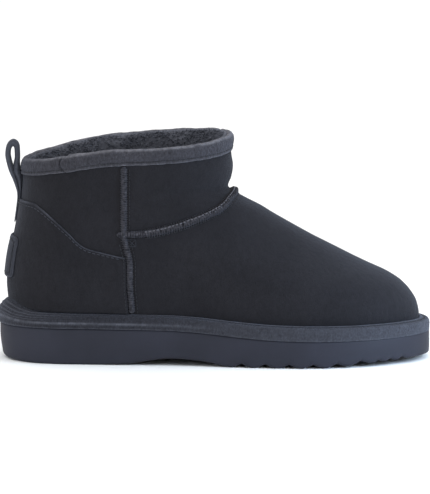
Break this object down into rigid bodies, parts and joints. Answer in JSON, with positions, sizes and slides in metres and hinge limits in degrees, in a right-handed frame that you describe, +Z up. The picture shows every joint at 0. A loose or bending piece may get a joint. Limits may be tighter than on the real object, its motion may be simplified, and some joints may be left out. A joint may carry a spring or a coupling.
{
  "type": "sheepskin ankle boot",
  "caption": "Low pull-on ankle boot with suede outside and wool inside, raised seams, bound collar, heel counter, pull loop and a thick sole with a rippled tread.",
  "frame": {"origin": "on the ground, under the middle of the box around the boot", "axes": "+X from heel to toe, +Y to the wearer's left, which is the inner side of this right boot, +Z up"},
  "size_m": [0.264, 0.102, 0.1385],
  "materials": {
    "sole_rubber": "matte foamed rubber with a fine grain",
    "band_suede": "brushed suede, a little lighter than the upper",
    "upper_suede": "soft brushed suede, nearly black",
    "trim_suede": "thin brushed suede tape",
    "wool": "dense curly wool pile"
  },
  "bodies": {
    "root": {"outsole": "sole_rubber", "midsole_band": "band_suede", "upper": "upper_suede", "insole": "wool", "collar_binding": "trim_suede", "heel_counter": "upper_suede", "heel_patch": "trim_suede", "side_seam_lower_outer": "upper_suede", "side_seam_upper_outer": "upper_suede", "side_seam_lower_inner": "upper_suede", "side_seam_upper_inner": "upper_suede", "instep_seam": "upper_suede", "pull_loop": "trim_suede"}
  },
  "joints": []
}
